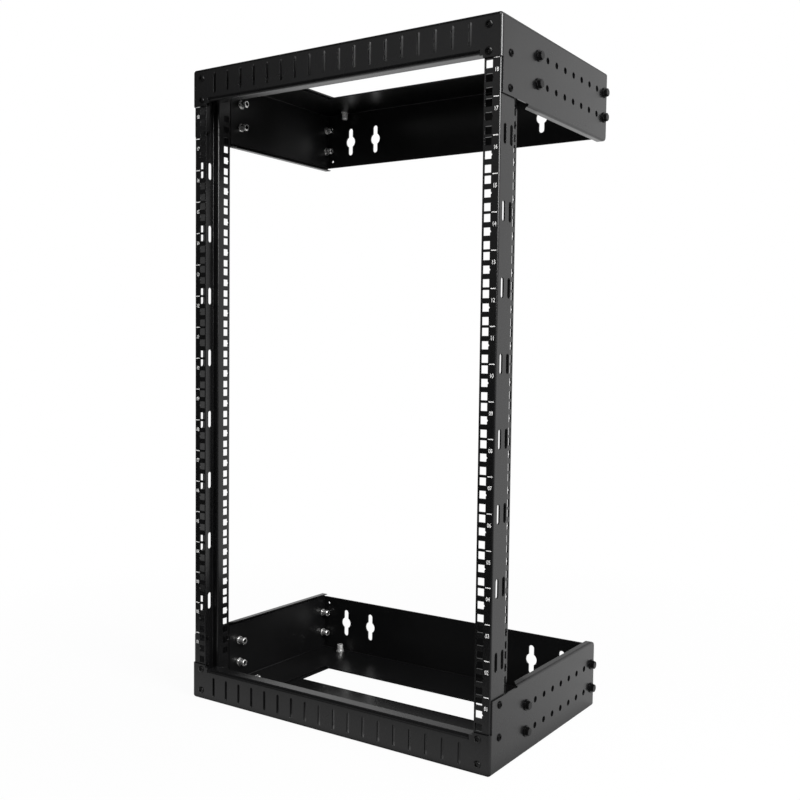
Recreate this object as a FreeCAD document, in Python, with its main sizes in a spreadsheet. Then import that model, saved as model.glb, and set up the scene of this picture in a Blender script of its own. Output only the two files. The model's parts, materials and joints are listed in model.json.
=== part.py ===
import FreeCAD, Part

import math
import os
import re

import Sketcher
from FreeCAD import Placement, Rotation, Vector

# Wall-mount open frame rack: two perforated rails between two trays that slide out for depth.
# X runs across the rack, Y from the front to the wall, Z up. The base stands at Z = 0.

doc = FreeCAD.newDocument("open_frame_rack")
sizes = doc.addObject("Spreadsheet::Sheet", "Sizes")

# Driving dimensions in millimetres
DIMENSIONS = {
    # rack grid
    "unit_pitch": 44.45,
    "unit_count": 18,
    "hole_side": 9.5,
    "hole_first": 6.35,
    "hole_step": 15.875,
    "hole_column": 232.55,
    "notch_deep": 1.4,
    "notch_wide": 3.4,
    # sheet and overall size
    "sheet": 2.0,
    "bend_inner": 1.0,
    "bend_outer": 3.0,
    "half_width": 250.0,
    "depth": 305.0,
    "margin": 52.2,
    # rails
    "rail_edge": 226.0,
    "web_depth": 37.0,
    "leg_face": 238.8,
    "rail_depth": 59.0,
    "leg_column": 51.6,
    "rail_gap": 4.6,
    "oblong_pitch": 90.0,
    "oblong_count": 8,
    "oblong_tall": 24.5,
    "oblong_wide": 6.8,
    "oblong_front": 12.8,
    "oblong_rear": 28.5,
    # front trays
    "tray_bend": 4.5,
    "panel_gap": 0.8,
    "panel_lip": 18.3,
    "lip_height": 46.2,
    "lip_bend": 5.0,
    "lip_half": 219.5,
    "lip_notch": 1.0,
    "tab_edge": 225.0,
    "tab_step": 48.3,
    "front_deck": 150.5,
    "side_deck": 81.0,
    "side_height": 92.5,
    "side_front": 4.9,
    "side_lip": 10.0,
    "side_rise": 3.2,
    "side_start": 69.0,
    "corner_round": 8.0,
    "vent_count": 18,
    "vent_pitch": 24.4,
    "vent_tall": 28.0,
    "vent_wide": 4.2,
    "vent_height": 21.7,
    # rear trays
    "rear_height": 90.0,
    "rear_deck": 92.0,
    "arm_deck": 73.0,
    "arm_front": 72.0,
    "key_inner": 150.0,
    "key_outer": 200.0,
    "key_height": 50.5,
    "key_long": 43.5,
    "key_wide": 8.7,
    "key_round": 18.0,
    "peep_column": 237.0,
    "peep_height": 79.5,
    "peep_wide": 4.0,
    # fasteners
    "bolt_first": 93.5,
    "bolt_pitch": 25.4,
    "bolt_steps": 8,
    "bolt_low": 29.0,
    "bolt_high": 63.0,
    "bolt_hole": 8.3,
    "bolt_wide": 6.0,
    "bolt_long": 13.5,
    "bolt_flats": 10.0,
    "bolt_head": 4.4,
    "bolt_tip": 0.8,
    "hex_rake": 0.7,
    "washer_wide": 14.0,
    "washer_thick": 1.6,
    "sleeve_flange": 12.4,
    "sleeve_wide": 10.0,
    "sleeve_long": 10.6,
    "deck_column": 203.5,
    "deck_first": 88.0,
    "deck_rise": 9.5,
    "sink_deep": 1.6,
    "screw_wide": 5.0,
    "screw_long": 10.0,
    "screw_cap": 9.4,
    "screw_rise": 2.2,
    "cross_long": 5.0,
    "cross_wide": 1.2,
    "cross_deep": 1.3,
    "panel_low": 13.2,
    "panel_high": 44.0,
    "side_column": 23.0,
    "side_low": 43.2,
    "side_high": 83.7,
}
for row, (alias, number) in enumerate(DIMENSIONS.items(), start=1):
    sizes.set(f"A{row}", alias)
    sizes.set(f"B{row}", str(number))
    sizes.setAlias(f"B{row}", alias)
doc.recompute()

OUTER_HEIGHT = "unit_pitch * unit_count + 2 * margin"
MIDDLE_DEPTH = "(depth - screw_rise) / 2"
NEST = "half_width - sheet"
THROUGH = "2 * sheet"

# How close two lengths are taken as the same, and the least volume that a cut takes away
NEAR = 0.001
LEAST_CUT = 1.0


def size(formula):
    """The value of a formula written with the sheet's names."""
    return float(sizes.evalExpression(formula))


def bound(formula):
    """The same formula with every name led back to the sheet."""
    return re.sub(r"[a-z][a-z_]+", lambda word: "Sizes." + word.group(), formula)


def minus(formula):
    return f"-({formula})"


def in_place(upside_down=False):
    """Where a piece stands: as modelled for the bottom or right, turned over for the top or left."""
    back = Vector(0, -size(MIDDLE_DEPTH), 0)
    if upside_down:
        return Placement(back + Vector(0, 0, size(OUTER_HEIGHT)), Rotation(Vector(0, 1, 0), 180))
    return Placement(back, Rotation())


# Sketches and features
def origin_feature(body, role):
    return next(item for item in body.Origin.OriginFeatures if item.Role == role)


def new_sketch(body, label, role, offset="0"):
    """A sketch on one of the body's own planes, moved along that plane's normal by a formula."""
    sketch = body.newObject("Sketcher::SketchObject", label)
    sketch.AttachmentSupport = (origin_feature(body, role), [""])
    sketch.MapMode = "FlatFace"
    sketch.setExpression("AttachmentOffset.Base.z", bound(offset))
    return sketch


def pin(sketch, element, point, place):
    """Ties one point of a sketch to two formulas, measured from the sketch's axes."""
    for kind, axis, formula in (("DistanceX", -2, place[0]), ("DistanceY", -1, place[1])):
        value = size(formula)
        if value == 0:
            sketch.addConstraint(Sketcher.Constraint("PointOnObject", element, point, axis))
            continue
        index = sketch.addConstraint(Sketcher.Constraint(kind, -1, 1, element, point, value))
        sketch.setExpression(f"Constraints[{index}]", bound(formula))


def outline(sketch, corners):
    """A closed outline of straight lines through corners given as pairs of formulas."""
    places = [Vector(size(across), size(along), 0) for across, along in corners]
    first = sketch.GeometryCount
    count = len(places)
    for number in range(count):
        sketch.addGeometry(Part.LineSegment(places[number], places[(number + 1) % count]), False)
    for number in range(count):
        following = first + (number + 1) % count
        sketch.addConstraint(Sketcher.Constraint("Coincident", first + number, 2, following, 1))
    for number, corner in enumerate(corners):
        pin(sketch, first + number, 1, corner)


def rectangle(sketch, left, low, right, high):
    outline(sketch, ((left, low), (right, low), (right, high), (left, high)))


def circle(sketch, place, width):
    middle = Vector(size(place[0]), size(place[1]), 0)
    element = sketch.addGeometry(Part.Circle(middle, Vector(0, 0, 1), size(width) / 2), False)
    index = sketch.addConstraint(Sketcher.Constraint("Diameter", element, size(width)))
    sketch.setExpression(f"Constraints[{index}]", bound(width))
    pin(sketch, element, 3, place)


def arc(sketch, middle, radius, start, finish):
    """Adds an arc between two angles, counted from the sketch's first axis."""
    whole = Part.Circle(middle, Vector(0, 0, 1), radius)
    return sketch.addGeometry(Part.ArcOfCircle(whole, start, finish), False)


def oblong(sketch, place, tall, wide):
    """An upright slot with round ends."""
    across, along = place
    radius = size(wide) / 2
    reach = f"({tall} - {wide}) / 2"
    ends = (f"{along} + {reach}", f"{along} - {reach}")
    top = Vector(size(across), size(ends[0]), 0)
    low = Vector(size(across), size(ends[1]), 0)
    side = Vector(radius, 0, 0)
    upper = arc(sketch, top, radius, 0, math.pi)
    left = sketch.addGeometry(Part.LineSegment(top - side, low - side), False)
    lower = arc(sketch, low, radius, math.pi, 2 * math.pi)
    right = sketch.addGeometry(Part.LineSegment(low + side, top + side), False)
    for first, second in ((upper, left), (left, lower), (lower, right), (right, upper)):
        sketch.addConstraint(Sketcher.Constraint("Tangent", first, 2, second, 1))
    for element, end in ((upper, ends[0]), (lower, ends[1])):
        index = sketch.addConstraint(Sketcher.Constraint("Diameter", element, size(wide)))
        sketch.setExpression(f"Constraints[{index}]", bound(wide))
        pin(sketch, element, 3, (across, end))


def outside_round(sketch, across, along, radius):
    """What lies outside a round at the far upper corner of a plate, with a sheet's thickness to spare."""
    near = (f"{across} - {radius}", f"{along} - {radius}")
    far = (f"{across} + sheet", f"{along} + sheet")
    corners = ((near[0], along), (near[0], far[1]), far, (far[0], near[1]), (across, near[1]))
    places = [Vector(size(first), size(second), 0) for first, second in corners]
    lines = [
        sketch.addGeometry(Part.LineSegment(start, finish), False)
        for start, finish in zip(places, places[1:])
    ]
    middle = Vector(size(near[0]), size(near[1]), 0)
    chain = lines + [arc(sketch, middle, size(radius), 0, math.pi / 2)]
    for number, element in enumerate(chain):
        following = chain[(number + 1) % len(chain)]
        sketch.addConstraint(Sketcher.Constraint("Coincident", element, 2, following, 1))
        pin(sketch, element, 1, corners[number])
    index = sketch.addConstraint(Sketcher.Constraint("Radius", chain[-1], size(radius)))
    sketch.setExpression(f"Constraints[{index}]", bound(radius))


def pad(body, sketch, length, turned=False):
    feature = body.newObject("PartDesign::Pad", sketch.Label + "_pad")
    feature.Profile = sketch
    feature.setExpression("Length", bound(length))
    feature.Reversed = turned
    doc.recompute()
    return feature


def pocket(body, sketch, length=None):
    """Cuts into the body against the sketch's normal, or through everything on both sides of it."""
    before = body.Shape.Volume
    feature = body.newObject("PartDesign::Pocket", sketch.Label + "_pocket")
    feature.Profile = sketch
    if length is None:
        feature.Type = "ThroughAll"
        feature.SideType = "Symmetric"
    else:
        feature.setExpression("Length", bound(length))
    doc.recompute()
    if body.Shape.Volume > before - LEAST_CUT:
        raise RuntimeError(f"{feature.Label} cuts nothing")
    return feature


def row_of(body, feature, role, count, pitch):
    """Repeats a cut along one of the body's axes."""
    before = body.Shape.Volume
    row = body.newObject("PartDesign::LinearPattern", feature.Label + "_row")
    row.Originals = [feature]
    row.Direction = (origin_feature(body, role), [""])
    row.setExpression("Length", bound(f"({count} - 1) * {pitch}"))
    row.setExpression("Occurrences", bound(count))
    body.Tip = row
    doc.recompute()
    if body.Shape.Volume > before - LEAST_CUT:
        raise RuntimeError(f"{row.Label} repeats nothing")


def both_sides(body, features):
    """Repeats the features on the other side of the rack's middle plane."""
    mirror = body.newObject("PartDesign::Mirrored", body.Label + "_mirror")
    mirror.Originals = features
    mirror.MirrorPlane = (origin_feature(body, "YZ_Plane"), [""])
    body.Tip = mirror
    doc.recompute()


def lies_on(edge, axis, place, reach):
    """Whether a straight edge runs along an axis through a place, with its middle within reach."""
    if len(edge.Vertexes) != 2:
        return False
    across = [index for index in range(3) if index != axis]
    for vertex in edge.Vertexes:
        point = vertex.Point
        if any(abs(point[index] - value) > NEAR for index, value in zip(across, place)):
            return False
    return reach is None or abs(edge.CenterOfMass[axis]) < reach


def bend(body, label, radius, lines):
    """Rounds the edges on the given lines, each an axis, its two fixed coordinates and a reach."""
    base = body.Tip
    names = []
    for number, edge in enumerate(base.Shape.Edges, start=1):
        if any(lies_on(edge, axis, place, reach) for axis, place, reach in lines):
            names.append(f"Edge{number}")
    if not names:
        raise RuntimeError(f"no edge for {label}")
    feature = body.newObject("PartDesign::Fillet", body.Label + "_" + label)
    feature.Base = (base, names)
    feature.setExpression("Radius", bound(radius))
    doc.recompute()


# Rails
def square_hole(sketch, across, along, notch=0):
    """A square hole at a place; the middle one of each unit has a small point cut in one side."""
    half = "hole_side / 2"
    left = f"{across} - {half}"
    right = f"{across} + {half}"
    low = f"{along} - {half}"
    high = f"{along} + {half}"
    corners = [(left, low), (right, low), (right, high), (left, high)]
    if notch:
        corners[2:2] = [
            (right, f"{along} - notch_wide / 2"),
            (f"{right} + notch_deep", along),
            (right, f"{along} + notch_wide / 2"),
        ]
    outline(sketch, corners)


def unit_holes(sketch, across):
    for number in range(3):
        height = f"margin + hole_first + {number} * hole_step"
        square_hole(sketch, across, height, notch=(number == 1))


def rail(label, upside_down):
    """One bent sheet: front flange, web, step inward and rear leg, with its holes."""
    body = doc.addObject("PartDesign::Body", label)
    face = "sheet"
    section = new_sketch(body, label + "_section", "XY_Plane", "rail_gap")
    step = f"{face} + web_depth"
    tail = f"{face} + rail_depth"
    outline(section, (
        ("rail_edge", face),
        (NEST, face),
        (NEST, step),
        ("leg_face", step),
        ("leg_face", tail),
        ("leg_face - sheet", tail),
        ("leg_face - sheet", f"{step} - sheet"),
        (f"{NEST} - sheet", f"{step} - sheet"),
        (f"{NEST} - sheet", f"{face} + sheet"),
        ("rail_edge", f"{face} + sheet"),
    ))
    pad(body, section, f"{OUTER_HEIGHT} - 2 * rail_gap")
    outside = size(NEST)
    thick = size("sheet")
    leg = size("leg_face")
    back = size(step)
    bend(body, "outer_bends", "bend_outer", (
        (2, (outside, size(face)), None),
        (2, (outside, back), None),
        (2, (leg - thick, back - thick), None),
    ))
    bend(body, "inner_bends", "bend_inner", (
        (2, (outside - thick, size(face) + thick), None),
        (2, (outside - thick, back - thick), None),
        (2, (leg, back), None),
    ))

    front = new_sketch(body, label + "_front_holes", "XZ_Plane", minus(face))
    unit_holes(front, "hole_column")
    row_of(body, pocket(body, front, THROUGH), "Z_Axis", "unit_count", "unit_pitch")

    rear = new_sketch(body, label + "_rear_holes", "YZ_Plane", "leg_face")
    unit_holes(rear, f"{face} + leg_column")
    row_of(body, pocket(body, rear, THROUGH), "Z_Axis", "unit_count", "unit_pitch")

    oblongs = new_sketch(body, label + "_oblongs", "YZ_Plane", NEST)
    lowest = f"({OUTER_HEIGHT} - (oblong_count - 1) * oblong_pitch) / 2"
    for place in ("oblong_front", "oblong_rear"):
        oblong(oblongs, (f"{face} + {place}", lowest), "oblong_tall", "oblong_wide")
    row_of(body, pocket(body, oblongs, THROUGH), "Z_Axis", "oblong_count", "oblong_pitch")

    panel_holes = new_sketch(body, label + "_panel_screw_holes", "XZ_Plane", minus(face))
    web_holes = new_sketch(body, label + "_side_screw_holes", "YZ_Plane", NEST)
    for low in ("panel_low", "panel_high"):
        for height in (low, f"{OUTER_HEIGHT} - {low}"):
            circle(panel_holes, ("hole_column", height), "screw_wide")
    for low in ("side_low", "side_high"):
        for height in (low, f"{OUTER_HEIGHT} - {low}"):
            circle(web_holes, ("side_column", height), "screw_wide")
    pocket(body, panel_holes, THROUGH)
    pocket(body, web_holes, THROUGH)
    body.Placement = in_place(upside_down)
    return body


# Trays
PANEL_EDGE = "margin - panel_gap"
SIDE_TOP = "side_height + side_rise"


def front_tray(label, upside_down):
    """One folded sheet with closed corners: slotted panel with a lip, deck, two side plates with lips."""
    body = doc.addObject("PartDesign::Body", label)
    strip = "half_width - side_deck"
    deck = new_sketch(body, label + "_deck", "XY_Plane")
    right = [
        ("half_width", "0"),
        ("half_width", "depth"),
        (strip, "depth"),
        (strip, "front_deck"),
    ]
    left = [(minus(across), along) for across, along in reversed(right)]
    outline(deck, right + left)
    pad(body, deck, "sheet")

    panel = new_sketch(body, label + "_panel", "XZ_Plane")
    notch_floor = "lip_height - lip_bend"
    right = [
        ("half_width", "0"),
        ("half_width", PANEL_EDGE),
        ("tab_edge", PANEL_EDGE),
        ("tab_edge", "tab_step"),
        ("lip_half + lip_notch", "tab_step"),
        ("lip_half + lip_notch", notch_floor),
        ("lip_half", notch_floor),
        ("lip_half", "lip_height"),
    ]
    left = [(minus(across), along) for across, along in reversed(right)]
    outline(panel, right + left)
    pad(body, panel, "sheet", turned=True)

    lip = new_sketch(body, label + "_lip", "XY_Plane", "lip_height - sheet")
    rectangle(lip, minus("lip_half"), "0", "lip_half", "panel_lip")
    pad(body, lip, "sheet")

    side = new_sketch(body, label + "_side", "YZ_Plane", NEST)
    outline(side, (
        ("0", "0"),
        ("depth", "0"),
        ("depth", SIDE_TOP),
        ("side_start", SIDE_TOP),
        ("side_start", "side_height"),
        ("side_front", "side_height"),
        ("side_front", PANEL_EDGE),
        ("0", PANEL_EDGE),
    ))
    side_pad = pad(body, side, "sheet")
    side_lip = new_sketch(body, label + "_side_lip", "XY_Plane", f"{SIDE_TOP} - sheet")
    outline(side_lip, (
        ("half_width", "side_start"),
        ("half_width", "depth"),
        ("half_width - side_lip", "depth"),
        ("half_width - side_lip", "side_start + side_lip"),
        ("half_width - bend_outer", "side_start"),
    ))
    lip_pad = pad(body, side_lip, "sheet")
    both_sides(body, [side_pad, lip_pad])

    wide = size("half_width")
    thick = size("sheet")
    edge = size("lip_height")
    rise = size(SIDE_TOP)
    outer = [(0, (0, 0), None)]
    inner = [(0, (thick, thick), None)]
    lip_outer = []
    lip_inner = []
    for hand in (1, -1):
        outer += [(1, (hand * wide, 0), None), (2, (hand * wide, 0), None)]
        inner += [(1, (hand * (wide - thick), thick), None), (2, (hand * (wide - thick), thick), None)]
        lip_outer.append((1, (hand * wide, rise), None))
        lip_inner.append((1, (hand * (wide - thick), rise - thick), None))
    bend(body, "outer_bends", "tray_bend", outer)
    bend(body, "inner_bends", "tray_bend - sheet", inner)
    bend(body, "side_lips_outside", "bend_outer", lip_outer)
    bend(body, "side_lips_inside", "bend_inner", lip_inner)
    bend(body, "lip_outside", "lip_bend", [(0, (0, edge), size("lip_half"))])
    bend(body, "lip_inside", "lip_bend - sheet", [(0, (thick, edge - thick), None)])
    rear_corners = new_sketch(body, label + "_rear_corners", "YZ_Plane")
    outside_round(rear_corners, "depth", SIDE_TOP, "corner_round")
    pocket(body, rear_corners)

    vents = new_sketch(body, label + "_vents", "XZ_Plane")
    oblong(vents, ("-(vent_count - 1) * vent_pitch / 2", "vent_height"), "vent_tall", "vent_wide")
    row_of(body, pocket(body, vents, THROUGH), "X_Axis", "vent_count", "vent_pitch")

    depth_holes = new_sketch(body, label + "_depth_holes", "YZ_Plane")
    for height in ("bolt_low", "bolt_high"):
        circle(depth_holes, ("bolt_first", height), "bolt_hole")
    row_of(body, pocket(body, depth_holes), "Y_Axis", "bolt_steps + 1", "bolt_pitch")

    panel_holes = new_sketch(body, label + "_panel_screw_holes", "XZ_Plane")
    side_holes = new_sketch(body, label + "_side_screw_holes", "YZ_Plane")
    for height in ("panel_low", "panel_high"):
        for column in ("hole_column", "-hole_column"):
            circle(panel_holes, (column, height), "screw_wide")
    for height in ("side_low", "side_high"):
        circle(side_holes, ("side_column", height), "screw_wide")
    pocket(body, panel_holes, THROUGH)
    pocket(body, side_holes)
    deck_bolt_holes(body, label, countersunk=True)
    body.Placement = in_place(upside_down)
    return body


def deck_bolt_places():
    """Plan positions of the four bolts that join the two decks of a tray."""
    return [
        (column, row)
        for column in ("deck_column", "-deck_column")
        for row in ("deck_first", "deck_first + bolt_steps * bolt_pitch")
    ]


def deck_bolt_holes(body, label, countersunk):
    holes = new_sketch(body, label + "_deck_bolt_holes", "XY_Plane")
    for place in deck_bolt_places():
        circle(holes, place, "bolt_wide")
    pocket(body, holes)
    if countersunk:
        base = body.Tip
        names = []
        radius = size("bolt_wide") / 2
        for number, edge in enumerate(base.Shape.Edges, start=1):
            if edge.Degenerated or not edge.isClosed() or edge.CenterOfMass.z > NEAR:
                continue
            if abs(edge.Length - 2 * math.pi * radius) < NEAR:
                names.append(f"Edge{number}")
        sink = body.newObject("PartDesign::Chamfer", label + "_countersinks")
        sink.Base = (base, names)
        sink.setExpression("Size", bound("sink_deep"))
        doc.recompute()


def rear_tray(label, upside_down):
    """One folded sheet with closed corners: wall with double keyholes, deck and two arms."""
    body = doc.addObject("PartDesign::Body", label)
    strip = f"{NEST} - arm_deck"
    deck = new_sketch(body, label + "_deck", "XY_Plane", "sheet")
    right = [
        (strip, "depth - rear_deck"),
        (strip, "arm_front"),
        (NEST, "arm_front"),
        (NEST, "depth"),
    ]
    left = [(minus(across), along) for across, along in reversed(right)]
    outline(deck, right + left)
    pad(body, deck, "sheet")

    wall = new_sketch(body, label + "_wall", "XZ_Plane", minus("depth"))
    rectangle(wall, minus(NEST), "sheet", NEST, "rear_height")
    pad(body, wall, "sheet")

    arm = new_sketch(body, label + "_arm", "YZ_Plane", f"{NEST} - sheet")
    rectangle(arm, "arm_front", "sheet", "depth", "rear_height")
    both_sides(body, [pad(body, arm, "sheet")])

    wide = size(NEST)
    thick = size("sheet")
    back = size("depth")
    outer = [(0, (back, thick), None)]
    inner = [(0, (back - thick, 2 * thick), None)]
    for hand in (1, -1):
        outer += [(1, (hand * wide, thick), None), (2, (hand * wide, back), None)]
        inner.append((1, (hand * (wide - thick), 2 * thick), None))
    bend(body, "outer_bends", "bend_outer", outer)
    bend(body, "inner_bends", "bend_inner", inner)

    slots = new_sketch(body, label + "_key_slots", "XZ_Plane", minus("depth - 2 * sheet"))
    rounds = new_sketch(body, label + "_key_rounds", "XZ_Plane", minus("depth - 2 * sheet"))
    peeps = new_sketch(body, label + "_peep_holes", "XZ_Plane", minus("depth - 2 * sheet"))
    for column in ("key_inner", "key_outer", "-key_inner", "-key_outer"):
        oblong(slots, (column, "key_height"), "key_long", "key_wide")
        circle(rounds, (column, "key_height"), "key_round")
    for column in ("peep_column", "-peep_column"):
        circle(peeps, (column, "peep_height"), "peep_wide")
    pocket(body, slots, "3 * sheet")
    pocket(body, rounds, "3 * sheet")
    pocket(body, peeps, "3 * sheet")

    arm_holes = new_sketch(body, label + "_arm_holes", "YZ_Plane")
    for height in ("bolt_low", "bolt_high"):
        for steps in ("0", "bolt_steps"):
            circle(arm_holes, (f"bolt_first + {steps} * bolt_pitch", height), "bolt_hole")
    pocket(body, arm_holes)
    deck_bolt_holes(body, label, countersunk=False)
    body.Placement = in_place(upside_down)
    return body


# Fasteners
HEX_SPREAD = 1 / math.cos(math.pi / 6)
RAKE_SLOPE = 2 / math.tan(math.pi / 6)


def place_along(base, direction):
    """Puts a shape that grows along +Z at a place, growing along a direction."""
    return Placement(base, Rotation(Vector(0, 0, 1), direction))


def cylinder(label, width, length, placement):
    item = doc.addObject("Part::Cylinder", label)
    item.setExpression("Radius", bound(f"({width}) / 2"))
    item.setExpression("Height", bound(length))
    item.Placement = placement
    return item


def cone(label, width, narrow, length, placement):
    item = doc.addObject("Part::Cone", label)
    item.setExpression("Radius1", bound(f"({width}) / 2"))
    item.setExpression("Radius2", bound(f"({narrow}) / 2"))
    item.setExpression("Height", bound(length))
    item.Placement = placement
    return item


def hexagon(label, flats, length, placement):
    """A hexagon whose far corners are turned down to a cone."""
    corners = f"({flats}) * {HEX_SPREAD}"
    prism = doc.addObject("Part::Prism", label + "_prism")
    prism.Polygon = 6
    prism.setExpression("Circumradius", bound(f"{corners} / 2"))
    prism.setExpression("Height", bound(length))
    prism.Placement = placement
    straight = cylinder(label + "_straight", corners, f"{length} - hex_rake", placement)
    top = placement * Placement(Vector(0, 0, size(f"{length} - hex_rake")), Rotation())
    rake = cone(label + "_rake", corners, f"{corners} - {RAKE_SLOPE} * hex_rake", "hex_rake", top)
    item = doc.addObject("Part::Common", label)
    item.Base = prism
    item.Tool = joined(label + "_turned", [straight, rake])
    return item


def shank(label, width, length, placement):
    """A round shank or sleeve with a chamfered end."""
    straight = cylinder(label + "_straight", width, f"{length} - bolt_tip", placement)
    end = placement * Placement(Vector(0, 0, size(f"{length} - bolt_tip")), Rotation())
    tip = cone(label + "_tip", width, f"{width} - 2 * bolt_tip", "bolt_tip", end)
    return joined(label, [straight, tip])


def joined(label, items):
    item = doc.addObject("Part::MultiFuse", label)
    item.Shapes = items
    return item


def group(label, items, upside_down):
    """Like fasteners as one named set, put where the piece that they hold stands."""
    item = doc.addObject("Part::Compound", label)
    item.Links = items
    item.Placement = in_place(upside_down)
    return item


def depth_bolt(label, base, inward):
    """A hexagon-head bolt with a washer; its base is on the outer face of the side plate."""
    outward = inward * -1
    washer = cylinder(label + "_washer", "washer_wide", "washer_thick", place_along(base, outward))
    seat = base + outward * size("washer_thick")
    head = hexagon(label + "_head", "bolt_flats", "bolt_head", place_along(seat, outward))
    stem = shank(label + "_stem", "bolt_wide", "bolt_long", place_along(base, inward))
    return joined(label, [washer, head, stem])


def sleeve_nut(label, base, away):
    """A round nut with a flange and an open sleeve, bored for the bolt that ends inside it."""
    turn = place_along(base, away)
    reach = "washer_thick + sleeve_long"
    flange = cylinder(label + "_flange", "sleeve_flange", "washer_thick", turn)
    sleeve = shank(label + "_sleeve", "sleeve_wide", reach, turn)
    item = doc.addObject("Part::Cut", label)
    item.Base = joined(label + "_blank", [flange, sleeve])
    item.Tool = cylinder(label + "_bore", "bolt_wide", reach, turn)
    return item


def cross_screw(label, base, inward):
    """A pan-head screw with a cross recess; its base is on the face that it holds."""
    outward = inward * -1
    cap = cylinder(label + "_cap", "screw_cap", "screw_rise", place_along(base, outward))
    stem = shank(label + "_stem", "screw_wide", "screw_long", place_along(base, inward))
    floor = base + outward * (size("screw_rise") - size("cross_deep"))
    turn = place_along(floor, outward)
    bars = []
    for name, wide, tall in (("bar", "cross_long", "cross_wide"), ("post", "cross_wide", "cross_long")):
        bar = doc.addObject("Part::Box", f"{label}_{name}")
        bar.setExpression("Length", bound(wide))
        bar.setExpression("Width", bound(tall))
        bar.setExpression("Height", bound("cross_deep"))
        bar.Placement = turn * Placement(Vector(-size(wide) / 2, -size(tall) / 2, 0), Rotation())
        bars.append(bar)
    item = doc.addObject("Part::Cut", label)
    item.Base = joined(label + "_blank", [cap, stem])
    item.Tool = joined(label + "_recess", bars)
    return item


def deck_bolt(label, base, up):
    """A countersunk bolt flush with the outside of the deck."""
    head_width = "bolt_wide + 2 * sink_deep"
    head = cone(label + "_head", head_width, "bolt_wide", "sink_deep", place_along(base, up))
    stem = shank(label + "_stem", "bolt_wide", "2 * sheet + deck_rise", place_along(base, up))
    return joined(label, [head, stem])


UP = Vector(0, 0, 1)
BACK = Vector(0, 1, 0)
SIDES = {"right": 1, "left": -1}


def fasteners(level, upside_down):
    """All the bolts, nuts and screws of one tray, in named sets."""
    sets = []
    for side, hand in SIDES.items():
        # a tray that is turned over also swaps its sides
        column = -hand if upside_down else hand
        inward = Vector(-column, 0, 0)
        tag = f"{level}_{side}"
        bolts = []
        nuts = []
        for number in range(4):
            row = f"bolt_first + {number % 2} * bolt_steps * bolt_pitch"
            height = ("bolt_low", "bolt_high")[number // 2]
            outer = Vector(column * size("half_width"), size(row), size(height))
            inner = Vector(column * size(f"{NEST} - sheet"), size(row), size(height))
            bolts.append(depth_bolt(f"depth_bolt_{tag}_{number}", outer, inward))
            nuts.append(sleeve_nut(f"depth_nut_{tag}_{number}", inner, inward))
        sets.append(group(f"depth_bolts_{tag}", bolts, upside_down))
        sets.append(group(f"depth_nuts_{tag}", nuts, upside_down))
        panel_screws = []
        side_screws = []
        for number, (low, high) in enumerate((("panel_low", "side_low"), ("panel_high", "side_high"))):
            front = Vector(column * size("hole_column"), 0, size(low))
            flank = Vector(column * size("half_width"), size("side_column"), size(high))
            panel_screws.append(cross_screw(f"panel_screw_{tag}_{number}", front, BACK))
            side_screws.append(cross_screw(f"side_screw_{tag}_{number}", flank, inward))
        sets.append(group(f"panel_screws_{tag}", panel_screws, upside_down))
        sets.append(group(f"side_screws_{tag}", side_screws, upside_down))
    bolts = []
    nuts = []
    for number, (column, row) in enumerate(deck_bolt_places()):
        outside = Vector(size(column), size(row), 0)
        inside = outside + UP * size("2 * sheet")
        bolts.append(deck_bolt(f"deck_bolt_{level}_{number}", outside, UP))
        nuts.append(sleeve_nut(f"deck_nut_{level}_{number}", inside, UP))
    sets.append(group(f"deck_bolts_{level}", bolts, upside_down))
    sets.append(group(f"deck_nuts_{level}", nuts, upside_down))
    return sets


pieces = [rail("rail_right", False), rail("rail_left", True)]
for level, upside_down in (("bottom", False), ("top", True)):
    pieces.append(front_tray(f"front_tray_{level}", upside_down))
    pieces.append(rear_tray(f"rear_tray_{level}", upside_down))
    pieces += fasteners(level, upside_down)
doc.recompute()

# Every object is sound before anything is written
for item in doc.Objects:
    if "Invalid" in item.State or "Error" in item.State:
        raise RuntimeError(f"{item.Label} failed: {item.State}")
os.makedirs("parts", exist_ok=True)
for piece in pieces:
    if piece.Shape.isNull() or not piece.Shape.isValid():
        raise RuntimeError(f"{piece.Label} is not a valid shape")
for piece in pieces:
    piece.Shape.exportStep(os.path.join("parts", piece.Label + ".step"))
    solids = len(piece.Shape.Solids)
    print(f"{piece.Label}: {solids} solids, {piece.Shape.Volume / 1000:.1f} cm3")
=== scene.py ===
import json
import math

import bmesh
import bpy
from mathutils import Matrix, Vector


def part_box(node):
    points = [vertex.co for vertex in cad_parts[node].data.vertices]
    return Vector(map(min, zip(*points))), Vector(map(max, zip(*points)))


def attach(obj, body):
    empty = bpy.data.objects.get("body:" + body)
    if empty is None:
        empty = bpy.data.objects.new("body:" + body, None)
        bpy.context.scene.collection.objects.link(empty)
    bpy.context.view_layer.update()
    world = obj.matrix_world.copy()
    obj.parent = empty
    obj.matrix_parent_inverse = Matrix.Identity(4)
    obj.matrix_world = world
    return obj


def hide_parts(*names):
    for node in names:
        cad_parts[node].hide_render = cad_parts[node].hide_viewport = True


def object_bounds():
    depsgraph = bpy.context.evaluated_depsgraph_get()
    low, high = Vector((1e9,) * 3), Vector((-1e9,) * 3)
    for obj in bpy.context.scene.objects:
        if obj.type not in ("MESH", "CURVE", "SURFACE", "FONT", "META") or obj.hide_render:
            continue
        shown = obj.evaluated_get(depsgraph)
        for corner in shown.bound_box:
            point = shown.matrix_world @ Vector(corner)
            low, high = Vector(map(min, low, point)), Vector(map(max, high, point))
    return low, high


# Looks of a wall-mount open frame rack: black powder coat, zinc nuts and printed rack units.
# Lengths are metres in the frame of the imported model: X across, Y from the front to the wall, Z up.

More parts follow.
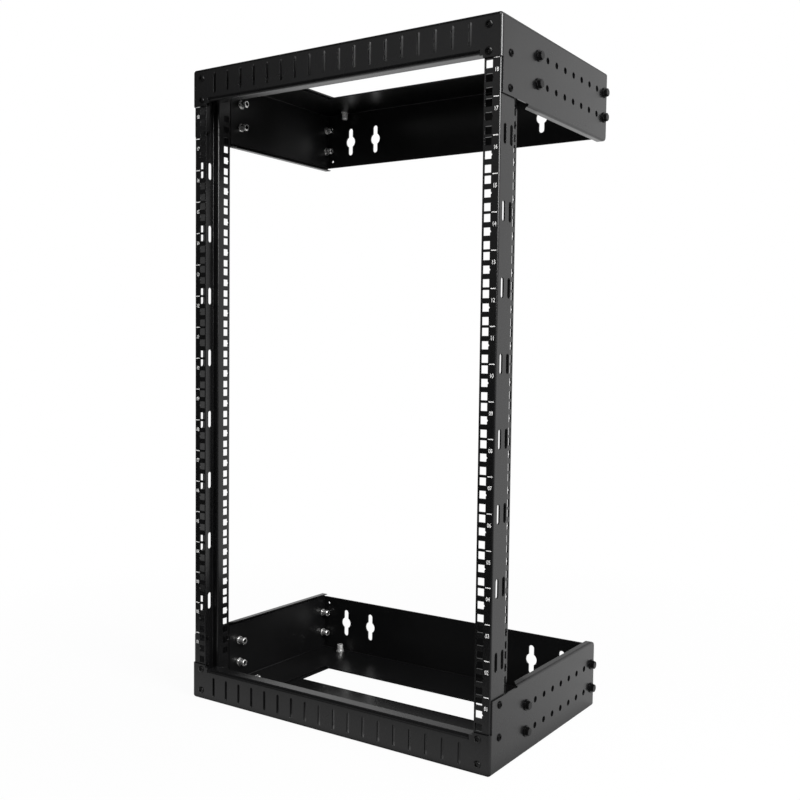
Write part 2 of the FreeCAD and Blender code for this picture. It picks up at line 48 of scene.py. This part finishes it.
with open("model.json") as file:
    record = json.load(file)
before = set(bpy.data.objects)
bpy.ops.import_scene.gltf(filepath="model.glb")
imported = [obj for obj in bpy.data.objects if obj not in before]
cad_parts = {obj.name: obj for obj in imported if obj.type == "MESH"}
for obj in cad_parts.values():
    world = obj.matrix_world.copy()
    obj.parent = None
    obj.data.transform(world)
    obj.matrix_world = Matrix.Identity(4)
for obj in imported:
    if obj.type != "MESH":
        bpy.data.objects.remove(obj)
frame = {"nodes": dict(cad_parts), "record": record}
cad_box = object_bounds()
nodes = frame["nodes"]
MM = 0.001
LEVELS = ("bottom", "top")
SIDES = (("left", -1), ("right", 1))

# Rack grid, as in the solids
UNIT = 44.45 * MM
UNIT_COUNT = 18
BAY_FLOOR = 52.2 * MM
FLANGE_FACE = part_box("rail_right")[0].y


def link_object(name, data):
    """An object with this data, in the scene."""
    item = bpy.data.objects.new(name, data)
    bpy.context.scene.collection.objects.link(item)
    return item


# Node helpers
WHITE = (1.0, 1.0, 1.0, 1.0)
RAY_SAMPLES = 4
NOISE_RANGE = (0.35, 0.65)  # holds most values of a noise
EDGE_RANGE = (0.72, 0.97)  # cosine between the rounded and the flat normal, from edge to face
RELIEF_STRENGTH = 0.5


def new_tree(name):
    """A material and its empty node tree."""
    material = bpy.data.materials.new(name)
    material.use_nodes = True
    tree = material.node_tree
    tree.nodes.clear()
    return material, tree


def add(tree, kind, values=None, **settings):
    """A node with its settings; each value is linked if it is a socket and set on the input if not."""
    item = tree.nodes.new(kind)
    for name, setting in settings.items():
        setattr(item, name, setting)
    for name, value in (values or {}).items():
        socket = item.inputs[name]
        if isinstance(value, bpy.types.NodeSocket):
            tree.links.new(value, socket)
        else:
            socket.default_value = value
    return item


def calculate(tree, operation, *values):
    """The result of a math node."""
    return add(tree, "ShaderNodeMath", dict(enumerate(values)), operation=operation).outputs["Value"]


def product(tree, first, *others):
    """All values multiplied."""
    for other in others:
        first = calculate(tree, "MULTIPLY", first, other)
    return first


def vector_math(tree, operation, *vectors):
    """The outputs of a vector math node."""
    return add(tree, "ShaderNodeVectorMath", dict(enumerate(vectors)), operation=operation).outputs


def axes_of(tree, vector):
    """The X, Y and Z of a vector."""
    return add(tree, "ShaderNodeSeparateXYZ", {0: vector}).outputs


def noise(tree, place, size, detail=2.0):
    """Noise whose features are about this size in metres."""
    item = add(tree, "ShaderNodeTexNoise", {"Vector": place, "Scale": 1 / size, "Detail": detail})
    return item.outputs["Fac"]


def spread(tree, value, low, high, source=NOISE_RANGE):
    """Maps a value from its source range to low and high, clamped."""
    item = add(tree, "ShaderNodeMapRange", {
        "Value": value,
        "From Min": source[0],
        "From Max": source[1],
        "To Min": low,
        "To Max": high,
    })
    return item.outputs["Result"]


def open_sky(tree, distance):
    """1 on open faces, less in bores, recesses and corners no wider than this distance."""
    item = add(tree, "ShaderNodeAmbientOcclusion", {"Distance": distance}, samples=RAY_SAMPLES)
    return item.outputs["AO"]


def blend_colour(tree, factor, first, second):
    """A colour between two, each of them a socket or three numbers."""
    item = add(tree, "ShaderNodeMix", {"Factor": factor}, data_type="RGBA")
    colours = [socket for socket in item.inputs if socket.type == "RGBA"]
    for socket, colour in zip(colours, (first, second)):
        if isinstance(colour, bpy.types.NodeSocket):
            tree.links.new(colour, socket)
        else:
            socket.default_value = (*colour, 1.0)
    return next(socket for socket in item.outputs if socket.type == "RGBA")


def bump(tree, height, depth, normal=None):
    """Relief of this depth in metres on top of another normal."""
    values = {"Height": height, "Distance": depth, "Strength": RELIEF_STRENGTH}
    if normal is not None:
        values["Normal"] = normal
    return add(tree, "ShaderNodeBump", values).outputs["Normal"]


def rounded_edges(tree, radius):
    """A normal that rounds sharp edges, and a mask that is 1 on those edges."""
    soft = add(tree, "ShaderNodeBevel", {"Radius": radius}, samples=RAY_SAMPLES).outputs["Normal"]
    flat = add(tree, "ShaderNodeNewGeometry").outputs["Normal"]
    cosine = vector_math(tree, "DOT_PRODUCT", soft, flat)["Value"]
    return soft, spread(tree, cosine, 1.0, 0.0, source=EDGE_RANGE)


def object_place(tree):
    return add(tree, "ShaderNodeTexCoord").outputs["Object"]


def surface(tree, values):
    shader = add(tree, "ShaderNodeBsdfPrincipled", values)
    add(tree, "ShaderNodeOutputMaterial", {"Surface": shader.outputs["BSDF"]})


def emitter(tree, kind, strength):
    """A white emission or background of this strength."""
    return add(tree, kind, {"Color": WHITE, "Strength": strength}).outputs[0]


def mix_shaders(tree, factor, first, second):
    return add(tree, "ShaderNodeMixShader", {0: factor, 1: first, 2: second}).outputs["Shader"]


# Black powder coat; a gloss is a range of roughness and a shine is a specular level
COAT_GLOSS = (0.23, 0.28)
COAT_TONES = ((0.0036, 0.0036, 0.0038), (0.0052, 0.0052, 0.0055))
# Edges are lighter, partly as worn thin paint and partly as a painted highlight along the sheet edges
COAT_WEAR_AND_SHEEN_TONE = (0.009, 0.009, 0.0095)
COAT_WEAR_AND_SHEEN_PATCHES = (0.15, 0.85)
COAT_EDGE = 0.28 * MM
COAT_GRAIN = 0.55 * MM
COAT_GRAIN_DEPTH = 0.016 * MM
COAT_PEEL = 2.6 * MM
COAT_PEEL_DEPTH = 0.02 * MM
COAT_CLOUD = 90 * MM
COAT_SPECK = 6 * MM
COAT_SHINE = 0.5
# Painted shade in holes, gaps and inside corners: an occlusion test cuts the coat's shine there
GAP_SHADE_REACH = 9 * MM
GAP_SHADE_SHARE = 0.02  # of the shine, left in holes and gaps
GAP_SHADE_RANGE = (0.38, 0.8)

# Rear trays: a less shiny copy of the coat as painted shade inside the rack, and still less shine as painted
# shade on the outer faces of their arms, behind the plates around them
REAR_GLOSS = (0.30, 0.36)
REAR_SHADED_SHINE = 0.36
ARM_SHADE_SHINE = 0.04
ARM_SHADE_DEPTH = (0.2 * MM, 0.1 * MM)

# Front trays: painted shade, as less shine, on the faces inside their folds just behind the lip; depths are
# from the outer faces
LIP_SHADE_SHINE = 0.12
SHADE_SKIN = (0.8 * MM, 1.6 * MM)
SHADE_START = (19 * MM, 26 * MM)
SHADE_END = (92 * MM, 118 * MM)


def shaded_arm_sides(node):
    """Shine of a rear tray: painted shade, with the shine cut down on the outer faces of its arms, which lie
    against the plates around them.
    """
    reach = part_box(node)[1].x

    def shine(tree, place):
        across = calculate(tree, "ABSOLUTE", axes_of(tree, place)["X"])
        source = [reach - depth for depth in ARM_SHADE_DEPTH]
        return spread(tree, across, REAR_SHADED_SHINE, ARM_SHADE_SHINE, source=source)

    return shine


def shaded_inside(node):
    """Shine of a front tray: painted shade, with less shine on the faces inside its folds, just behind the
    lip.
    """
    low, high = (Vector(corner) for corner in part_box(node))
    middle = (low + high) / 2
    half = (high - low) / 2
    upward = 1.0 if node.endswith("bottom") else -1.0

    def shine(tree, place):
        axes = axes_of(tree, vector_math(tree, "SUBTRACT", place, middle)["Vector"])
        across = calculate(tree, "ABSOLUTE", axes["X"])
        inward = product(tree, axes["Z"], upward)
        inside = product(
            tree,
            spread(tree, across, 1.0, 0.0, source=(half.x - SHADE_SKIN[1], half.x - SHADE_SKIN[0])),
            spread(tree, inward, 0.0, 1.0, source=[depth - half.z for depth in SHADE_SKIN]),
            spread(tree, axes["Y"], 0.0, 1.0, source=[depth - half.y for depth in SHADE_START]),
            spread(tree, axes["Y"], 1.0, 0.0, source=[depth - half.y for depth in SHADE_END]),
        )
        return spread(tree, inside, COAT_SHINE, LIP_SHADE_SHINE, source=(0.0, 1.0))

    return shine


def powder_coat(name, gloss, shine=None):
    """Satin black powder coat: fine grain, a soft orange peel, uneven gloss, edges lighter as worn thin paint
    and as a painted highlight, and painted shade in holes and gaps, where the shine is cut down."""
    material, tree = new_tree(name)
    place = object_place(tree)
    soft, edge = rounded_edges(tree, COAT_EDGE)
    grain = noise(tree, place, COAT_GRAIN)
    peel = noise(tree, place, COAT_PEEL, detail=1.0)
    cloud = noise(tree, place, COAT_CLOUD, detail=3.0)
    speck = noise(tree, place, COAT_SPECK, detail=4.0)
    relief = bump(tree, grain, COAT_GRAIN_DEPTH, soft)
    relief = bump(tree, peel, COAT_PEEL_DEPTH, relief)
    tone = blend_colour(tree, cloud, *COAT_TONES)
    # Lighter edges: worn paint and a painted edge highlight
    wear_and_sheen = product(tree, edge, spread(tree, speck, *COAT_WEAR_AND_SHEEN_PATCHES))
    # Painted shade: less shine where the occlusion test finds holes and gaps
    share = spread(tree, open_sky(tree, GAP_SHADE_REACH), GAP_SHADE_SHARE, 1.0, source=GAP_SHADE_RANGE)
    surface(tree, {
        "Base Color": blend_colour(tree, wear_and_sheen, tone, COAT_WEAR_AND_SHEEN_TONE),
        "Roughness": spread(tree, cloud, *gloss),
        "Specular IOR Level": product(tree, share, shine(tree, place) if shine else COAT_SHINE),
        "Normal": relief,
    })
    return material


# Black oxide of the bolts and screws
OXIDE_GLOSS = (0.22, 0.30)
OXIDE_TONES = ((0.0026, 0.0026, 0.0028), (0.0046, 0.0045, 0.0044))
OXIDE_RUBBED_TONE = (0.006, 0.006, 0.0063)
OXIDE_EDGE = 0.25 * MM
OXIDE_GRAIN = 0.3 * MM
OXIDE_GRAIN_DEPTH = 0.012 * MM
OXIDE_BLOTCH = 3 * MM
BOLT_SHINE = 0.15
# The panel and side screws are the same screws: the panel screws get a lit copy of the finish, the side
# screws a shaded copy with little shine
PANEL_SCREW_LIT_SHINE = 0.4
SIDE_SCREW_SHADED_SHINE = 0.06
RECESS_SHADE_REACH = 2 * MM
RECESS_SHADE_RANGE = (0.45, 0.8)


def black_oxide(name, shine, shade_recess=False):
    """Blackened steel of the bolts and screws: dark, a little glossier, with rubbed edges.

    Painted shade: a recess, found by an occlusion test, has no shine."""
    material, tree = new_tree(name)
    place = object_place(tree)
    soft, edge = rounded_edges(tree, OXIDE_EDGE)
    grain = noise(tree, place, OXIDE_GRAIN, detail=3.0)
    blotch = noise(tree, place, OXIDE_BLOTCH, detail=3.0)
    tone = blend_colour(tree, blotch, *OXIDE_TONES)
    # Painted shade: no shine where an occlusion test finds a recess
    if shade_recess:
        shine = spread(tree, open_sky(tree, RECESS_SHADE_REACH), 0.0, shine, source=RECESS_SHADE_RANGE)
    surface(tree, {
        "Base Color": blend_colour(tree, edge, tone, OXIDE_RUBBED_TONE),
        "Roughness": spread(tree, blotch, *OXIDE_GLOSS),
        "Specular IOR Level": shine,
        "Normal": bump(tree, grain, OXIDE_GRAIN_DEPTH, soft),
    })
    return material


# Bright zinc plate of the nuts
ZINC_GLOSS = (0.18, 0.28)
ZINC_TONES = ((0.80, 0.80, 0.81), (0.92, 0.91, 0.88))
ZINC_EDGE_TONE = (0.95, 0.95, 0.94)
ZINC_SHADE_TONE = (0.02, 0.02, 0.02)
ZINC_EDGE = 0.3 * MM
ZINC_GRAIN = 0.25 * MM
ZINC_GRAIN_DEPTH = 0.01 * MM
ZINC_BLOTCH = 2.2 * MM
ZINC_METALLIC = 0.85
DECK_ZINC_METALLIC = 0.65
BORE_SHADE_REACH = 5 * MM
BORE_SHADE_RANGE = (0.3, 0.68)


def zinc_plate(name, metallic):
    """Bright zinc plate with a fine crystal mottle, and painted shade that darkens the bores and under the
    flanges.
    """
    material, tree = new_tree(name)
    place = object_place(tree)
    soft, edge = rounded_edges(tree, ZINC_EDGE)
    grain = noise(tree, place, ZINC_GRAIN, detail=3.0)
    blotch = noise(tree, place, ZINC_BLOTCH, detail=3.0)
    tone = blend_colour(tree, blotch, *ZINC_TONES)
    colour = blend_colour(tree, edge, tone, ZINC_EDGE_TONE)
    # Painted shade: an occlusion test darkens the colour in bores and under flanges
    unshaded = spread(tree, open_sky(tree, BORE_SHADE_REACH), 0.0, 1.0, source=BORE_SHADE_RANGE)
    surface(tree, {
        "Base Color": blend_colour(tree, unshaded, ZINC_SHADE_TONE, colour),
        "Metallic": metallic,
        "Roughness": spread(tree, blotch, *ZINC_GLOSS),
        "Normal": bump(tree, grain, ZINC_GRAIN_DEPTH, soft),
    })
    return material


# Ink of the printed rack units
INK_GLOSS = (0.5, 0.62)
INK_TONES = ((0.74, 0.74, 0.73), (0.88, 0.88, 0.87))
INK_COVER = 0.6 * MM
INK_GRAIN = 0.2 * MM
INK_GRAIN_DEPTH = 0.01 * MM


def white_print():
    """Screen-printed ink, slightly uneven."""
    material, tree = new_tree("white_print")
    place = object_place(tree)
    cover = noise(tree, place, INK_COVER, detail=3.0)
    grain = noise(tree, place, INK_GRAIN)
    surface(tree, {
        "Base Color": blend_colour(tree, cover, *INK_TONES),
        "Roughness": spread(tree, cover, *INK_GLOSS),
        "Normal": bump(tree, grain, INK_GRAIN_DEPTH),
    })
    return material


FINISHES = {
    "black_coat": powder_coat("black_powder_coat", COAT_GLOSS),
    "black_fastener": black_oxide("black_bolt", BOLT_SHINE),
    "zinc": zinc_plate("zinc_plate", ZINC_METALLIC),
}
DECK_ZINC = zinc_plate("pale_zinc_plate", DECK_ZINC_METALLIC)
PRINT = white_print()
# Lit and shaded copies of one screw finish
PANEL_SCREW_LIT = black_oxide("black_panel_screw", PANEL_SCREW_LIT_SHINE, shade_recess=True)
SIDE_SCREW_SHADED = black_oxide("black_side_screw", SIDE_SCREW_SHADED_SHINE, shade_recess=True)
for part in frame["record"]["subparts"]:
    mesh = nodes[part["node"]].data
    mesh.materials.clear()
    mesh.materials.append(FINISHES[part["material_slot"]])
for level in LEVELS:
    node = f"rear_tray_{level}"
    # Rear trays take a less shiny, painted-shade copy of the coat
    nodes[node].data.materials[0] = powder_coat(node + "_coat", REAR_GLOSS, shaded_arm_sides(node))
    node = f"front_tray_{level}"
    # Painted shade behind the lip: less shine on the front tray's inner faces
    nodes[node].data.materials[0] = powder_coat(node + "_coat", COAT_GLOSS, shaded_inside(node))
    for node in (f"deck_nuts_{level}", f"deck_bolts_{level}"):
        nodes[node].data.materials[0] = DECK_ZINC


# Domed screws with a cross recess
HEAD_RADIUS = 4.7 * MM
HEAD_RISE = 2.2 * MM
RIM_RISE = 0.5 * MM
SHANK_RADIUS = 2.5 * MM
SHANK_LONG = 10.0 * MM
SHANK_TIP = 0.8 * MM
DOME_RINGS = 9
TURN_STEPS = 48
RECESS_LONG = 6.4 * MM
RECESS_WIDE = 2.0 * MM
RECESS_FLOOR = 0.3 * MM
RECESS_TAPER = 0.6
CROSS_TURN = math.radians(45)
SHARP_FROM = math.radians(35)


def turned(profile, steps):
    """A closed mesh from a profile of radius and height, turned about Z; both ends lie on the axis."""
    shape = bmesh.new()
    angles = [2 * math.pi * step / steps for step in range(steps)]
    rings = []
    for radius, height in profile:
        if radius == 0:
            rings.append([shape.verts.new((0, 0, height))] * steps)
            continue
        places = [(radius * math.cos(angle), radius * math.sin(angle), height) for angle in angles]
        rings.append([shape.verts.new(place) for place in places])
    for lower, upper in zip(rings, rings[1:]):
        for step in range(steps):
            after = (step + 1) % steps
            corners = [lower[step], lower[after], upper[after], upper[step]]
            shape.faces.new(list(dict.fromkeys(corners)))
    bmesh.ops.recalc_face_normals(shape, faces=shape.faces)
    return shape


def as_object(name, shape):
    """Links a finished bmesh to the scene as an object, and frees it."""
    mesh = bpy.data.meshes.new(name)
    shape.to_mesh(mesh)
    shape.free()
    return link_object(name, mesh)


def recess_bar(turn):
    """One tapered arm of the cross that is cut into a head."""
    shape = bmesh.new()
    bmesh.ops.create_cube(shape, size=1.0)
    tall = 2 * HEAD_RISE
    for vertex in shape.verts:
        shrink = RECESS_TAPER if vertex.co.z < 0 else 1.0
        lift = RECESS_FLOOR + (vertex.co.z + 0.5) * tall
        vertex.co = (vertex.co.x * RECESS_LONG * shrink, vertex.co.y * RECESS_WIDE, lift)
    bmesh.ops.rotate(shape, verts=shape.verts, matrix=Matrix.Rotation(turn, 3, "Z"))
    return as_object("recess_bar", shape)


def screw_mesh():
    """A pan-head screw along Z, with the underside of its head at the origin."""
    profile = [(0, -SHANK_LONG), (SHANK_RADIUS - SHANK_TIP, -SHANK_LONG)]
    profile += [(SHANK_RADIUS, SHANK_TIP - SHANK_LONG), (SHANK_RADIUS, 0), (HEAD_RADIUS, 0)]
    for ring in range(DOME_RINGS):
        angle = math.pi / 2 * ring / DOME_RINGS
        rise = RIM_RISE + (HEAD_RISE - RIM_RISE) * math.sin(angle)
        profile.append((HEAD_RADIUS * math.cos(angle), rise))
    profile.append((0, HEAD_RISE))
    blank = as_object("screw_blank", turned(profile, TURN_STEPS))
    bars = [recess_bar(CROSS_TURN), recess_bar(CROSS_TURN + math.pi / 2)]
    for bar in bars:
        cut = blank.modifiers.new("recess", "BOOLEAN")
        cut.operation = "DIFFERENCE"
        cut.solver = "EXACT"
        cut.object = bar
    bpy.context.view_layer.update()
    mesh = bpy.data.meshes.new_from_object(blank.evaluated_get(bpy.context.evaluated_depsgraph_get()))
    for item in (blank, *bars):
        bpy.data.objects.remove(item)
    return mesh


def screw_places(node, outward):
    """Where the two screws of a node stand: under their heads, growing outward."""
    low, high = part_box(node)
    axis = 0 if outward.x else 1
    face = high[axis] if outward[axis] > 0 else low[axis]
    turn = Vector((0, 0, 1)).rotation_difference(outward).to_matrix().to_4x4()
    for height in (low.z + HEAD_RADIUS, high.z - HEAD_RADIUS):
        place = (Vector(low) + Vector(high)) / 2
        place.z = height
        place[axis] = face - outward[axis] * HEAD_RISE
        yield Matrix.Translation(place) @ turn


def dress_screws(pattern, node, outward, finish):
    """Puts domed screws in the place of a node's plain ones."""
    shape = bmesh.new()
    for place in screw_places(node, outward):
        copy = pattern.copy()
        copy.transform(place)
        shape.from_mesh(copy)
        bpy.data.meshes.remove(copy)
    piece = as_object(node + "_domed", shape)
    piece.data.polygons.foreach_set("use_smooth", [True] * len(piece.data.polygons))
    piece.data.set_sharp_from_angle(angle=SHARP_FROM)
    piece.data.materials.append(finish)
    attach(piece, "root")
    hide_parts(node)


screw = screw_mesh()
for level in LEVELS:
    for side, hand in SIDES:
        dress_screws(screw, f"panel_screws_{level}_{side}", Vector((0, -1, 0)), PANEL_SCREW_LIT)
        dress_screws(screw, f"side_screws_{level}_{side}", Vector((hand, 0, 0)), SIDE_SCREW_SHADED)
bpy.data.meshes.remove(screw)


# Printed rack units
MARK_THICK = 0.05 * MM
TICK_SIZE = (7.0 * MM, 1.2 * MM)
MARK_COLUMN_RIGHT = 242.7 * MM
MARK_COLUMN_LEFT = -241.6 * MM
NUMBER_TALL = 5.2 * MM
NUMBER_NARROW = 0.78
NUMBER_DROP = 13.9 * MM
NUMBER_BOLD = 0.018
NUMBER_CURVE_STEPS = 3
WELD = 0.0005 * MM


def numeral_mesh(text):
    """The numeral as a thin closed solid that faces -Y, centred on its own origin."""
    curve = bpy.data.curves.new("numeral", "FONT")
    curve.body = text
    curve.align_x = "CENTER"
    curve.align_y = "CENTER"
    curve.offset = NUMBER_BOLD
    curve.extrude = MARK_THICK / 2
    curve.resolution_u = NUMBER_CURVE_STEPS
    holder = link_object("numeral", curve)
    bpy.context.view_layer.update()
    evaluated = holder.evaluated_get(bpy.context.evaluated_depsgraph_get())
    mesh = bpy.data.meshes.new_from_object(evaluated)
    bpy.data.objects.remove(holder)
    bpy.data.curves.remove(curve)
    heights = [vertex.co.y for vertex in mesh.vertices]
    scale = NUMBER_TALL / (max(heights) - min(heights))
    upright = Matrix.Rotation(math.pi / 2, 4, "X")
    mesh.transform(upright @ Matrix.Diagonal((scale * NUMBER_NARROW, scale, 1.0, 1.0)))
    return mesh


def unit_marks(name, column):
    """Unit lines and numbers of one rail, as one printed layer on its front flange."""
    layer = bmesh.new()
    front = FLANGE_FACE - MARK_THICK / 2
    tick = Matrix.Diagonal((TICK_SIZE[0], MARK_THICK, TICK_SIZE[1], 1.0))
    for unit in range(1, UNIT_COUNT + 1):
        top = BAY_FLOOR + unit * UNIT
        bmesh.ops.create_cube(layer, size=1.0, matrix=Matrix.Translation((column, front, top)) @ tick)
        mesh = numeral_mesh(f"{unit:02d}")
        mesh.transform(Matrix.Translation((column, front, top - NUMBER_DROP)))
        layer.from_mesh(mesh)
        bpy.data.meshes.remove(mesh)
    bmesh.ops.remove_doubles(layer, verts=layer.verts, dist=WELD)
    piece = as_object(name, layer)
    piece.data.materials.append(PRINT)
    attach(piece, "root")


unit_marks("unit_marks_right", MARK_COLUMN_RIGHT)
unit_marks("unit_marks_left", MARK_COLUMN_LEFT)


# Floor; its levels are what reflections show of it, by depth in the room
FLOOR_HALF = 30.0
FLOOR_DROP = 0.2 * MM
FLOOR_TONE = (0.8, 0.8, 0.8, 1.0)
FRONT_LEVEL = 0.57
BACK_LEVEL = 0.95
FRONT_TO_BACK = (-0.25, 0.3)
FAR_SHARE = 0.06
FAR_TO_NEAR = (-0.52, -0.22)
# Painted shadow: the floor's glow in reflections is dim under the rack
UNDER_SHADOW_SHARE = 0.15
UNDER_SHADOW_REACH = (0.8, 1.1)  # in halves of the rack's width or depth
SHADOW_SHARE = 0.05
SHADOW_RANGE = (0.35, 1.1)


def floor_finish():
    """White where the camera sees it, with a faint shadow near the rack; in reflections it is brighter behind
    the rack, dark far in front, and dim under it as a painted shadow."""
    material, tree = new_tree("pale_floor")
    place = object_place(tree)
    matt = add(tree, "ShaderNodeBsdfDiffuse", {"Color": FLOOR_TONE}).outputs["BSDF"]
    white = emitter(tree, "ShaderNodeEmission", 1.0)
    reach = vector_math(tree, "LENGTH", place)["Value"]
    shadow = spread(tree, reach, SHADOW_SHARE, 0.0, source=SHADOW_RANGE)
    seen = mix_shaders(tree, shadow, white, matt)
    depth = axes_of(tree, place)["Y"]
    half = (Vector(cad_box[1]) - Vector(cad_box[0])) / 2
    apart = vector_math(tree, "DIVIDE", place, half)["Vector"]
    apart = axes_of(tree, vector_math(tree, "ABSOLUTE", apart)["Vector"])
    outside = calculate(tree, "MAXIMUM", apart["X"], apart["Y"])
    level = product(
        tree,
        spread(tree, depth, FRONT_LEVEL, BACK_LEVEL, source=FRONT_TO_BACK),
        spread(tree, depth, FAR_SHARE, 1.0, source=FAR_TO_NEAR),
        spread(tree, outside, UNDER_SHADOW_SHARE, 1.0, source=UNDER_SHADOW_REACH),
    )
    mirrored = emitter(tree, "ShaderNodeEmission", level)
    rays = add(tree, "ShaderNodeLightPath").outputs
    mixed = mix_shaders(tree, rays["Is Glossy Ray"], matt, mirrored)
    clear = calculate(tree, "MAXIMUM", rays["Is Camera Ray"], rays["Is Transmission Ray"])
    mixed = mix_shaders(tree, clear, mixed, seen)
    add(tree, "ShaderNodeOutputMaterial", {"Surface": mixed})
    return material


def lay_floor():
    mesh = bpy.data.meshes.new("floor")
    corners = [(-1, -1), (1, -1), (1, 1), (-1, 1)]
    places = [(x * FLOOR_HALF, y * FLOOR_HALF, -FLOOR_DROP) for x, y in corners]
    mesh.from_pydata(places, [], [(0, 1, 2, 3)])
    mesh.materials.append(floor_finish())
    floor = link_object("floor", mesh)


# Brightness of the studio from left to right, as pairs of the direction's X and a level
BEHIND = (
    (-0.74, 0.1),
    (-0.67, 1.0),
    (-0.57, 1.0),
    (-0.46, 0.55),
    (-0.2, 0.55),
    (0.15, 1.0),
    (0.58, 1.0),
    (0.7, 0.5),
)
IN_FRONT = ((-0.72, 0.02), (-0.63, 0.38), (-0.48, 0.55), (-0.2, 0.35), (0.3, 0.28))
IN_FRONT_TO_BEHIND = (-0.3, 0.35)  # by the direction's Y

# Shares and ranges by the direction's Z
HORIZON_SHARE = 0.25  # of the level in front, which grows to the next share above the horizon
RAISED_SHARE = 1.2
HORIZON_TO_RAISED = (0.12, 0.28)
CEILING_SHARE = 0.1
WALL_TO_CEILING = (0.28, 0.55)

# A bright panel overhead, behind and to the right
OVERHEAD = 1.4
OVERHEAD_EDGES = {"X": (-0.2, 0.1), "Y": (0.2, 0.4), "Z": (0.5, 0.62)}


def across_the_room(tree, way, levels):
    """A level that follows the direction's X through the given pairs."""
    where = spread(tree, way, 0.0, 1.0, source=(-1.0, 1.0))
    ramp = add(tree, "ShaderNodeValToRGB", {"Fac": where})
    stops = ramp.color_ramp.elements
    while len(stops) < len(levels):
        stops.new(1.0)
    for stop, (place, level) in zip(stops, levels):
        stop.position = (place + 1) / 2
        stop.color = (level, level, level, 1.0)
    return ramp.outputs["Color"]


def studio_world():
    """Bright low behind the rack, dim in front and overhead, and plain white wherever the camera
    looks past it."""
    world = bpy.data.worlds.new("studio")
    world.use_nodes = True
    tree = world.node_tree
    tree.nodes.clear()
    axes = axes_of(tree, add(tree, "ShaderNodeTexCoord").outputs["Generated"])
    behind = across_the_room(tree, axes["X"], BEHIND)
    raised = spread(tree, axes["Z"], HORIZON_SHARE, RAISED_SHARE, source=HORIZON_TO_RAISED)
    in_front = product(tree, across_the_room(tree, axes["X"], IN_FRONT), raised)
    turned_back = spread(tree, axes["Y"], 0.0, 1.0, source=IN_FRONT_TO_BEHIND)
    wall = blend_colour(tree, turned_back, in_front, behind)
    low = product(tree, wall, spread(tree, axes["Z"], 1.0, CEILING_SHARE, source=WALL_TO_CEILING))
    edges = [spread(tree, axes[axis], 0.0, 1.0, source=edge) for axis, edge in OVERHEAD_EDGES.items()]
    level = calculate(tree, "ADD", low, product(tree, OVERHEAD, *edges))
    room = emitter(tree, "ShaderNodeBackground", level)
    white = emitter(tree, "ShaderNodeBackground", 1.0)
    camera_ray = add(tree, "ShaderNodeLightPath").outputs["Is Camera Ray"]
    mixed = mix_shaders(tree, camera_ray, room, white)
    add(tree, "ShaderNodeOutputWorld", {"Surface": mixed})
    bpy.context.scene.world = world


# Soft lamps: name, place, the point each one faces, width, height and brightness
LAMPS = (
    ("key_right", (2.1, -0.6, 1.55), (0.0, 0.0, 0.6), 1.0, 1.2, 18.0),
    ("fill_front", (0.9, -1.3, 2.3), (0.0, 0.0, 0.3), 1.0, 0.8, 10.0),
)


def softbox(name, place, aim, width, height, radiance):
    """An area lamp of a given brightness that faces a point."""
    lamp = bpy.data.lights.new(name, "AREA")
    lamp.shape = "RECTANGLE"
    lamp.size = width
    lamp.size_y = height
    lamp.energy = radiance * width * height * math.pi
    holder = link_object(name, lamp)
    holder.location = place
    holder.rotation_euler = (Vector(aim) - Vector(place)).to_track_quat("-Z", "Y").to_euler()


# Camera, fitted to the rack units in the photo
CAMERA_PLACE = (0.8229, -1.1823, 0.5100)
CAMERA_TURN = (86.830, -0.777, 32.918)  # degrees
CAMERA_SENSOR = 36.0
CAMERA_LENS = 45.145
CAMERA_SHIFT = (-0.0361, 0.0096)


def aim_camera():
    data = bpy.data.cameras.new("camera")
    data.sensor_width = CAMERA_SENSOR
    data.lens = CAMERA_LENS
    data.shift_x, data.shift_y = CAMERA_SHIFT
    camera = link_object("camera", data)
    camera.location = CAMERA_PLACE
    camera.rotation_euler = [math.radians(angle) for angle in CAMERA_TURN]
    bpy.context.scene.camera = camera


lay_floor()
studio_world()
for settings in LAMPS:
    softbox(*settings)
aim_camera()
bpy.context.scene.view_settings.view_transform = "Standard"
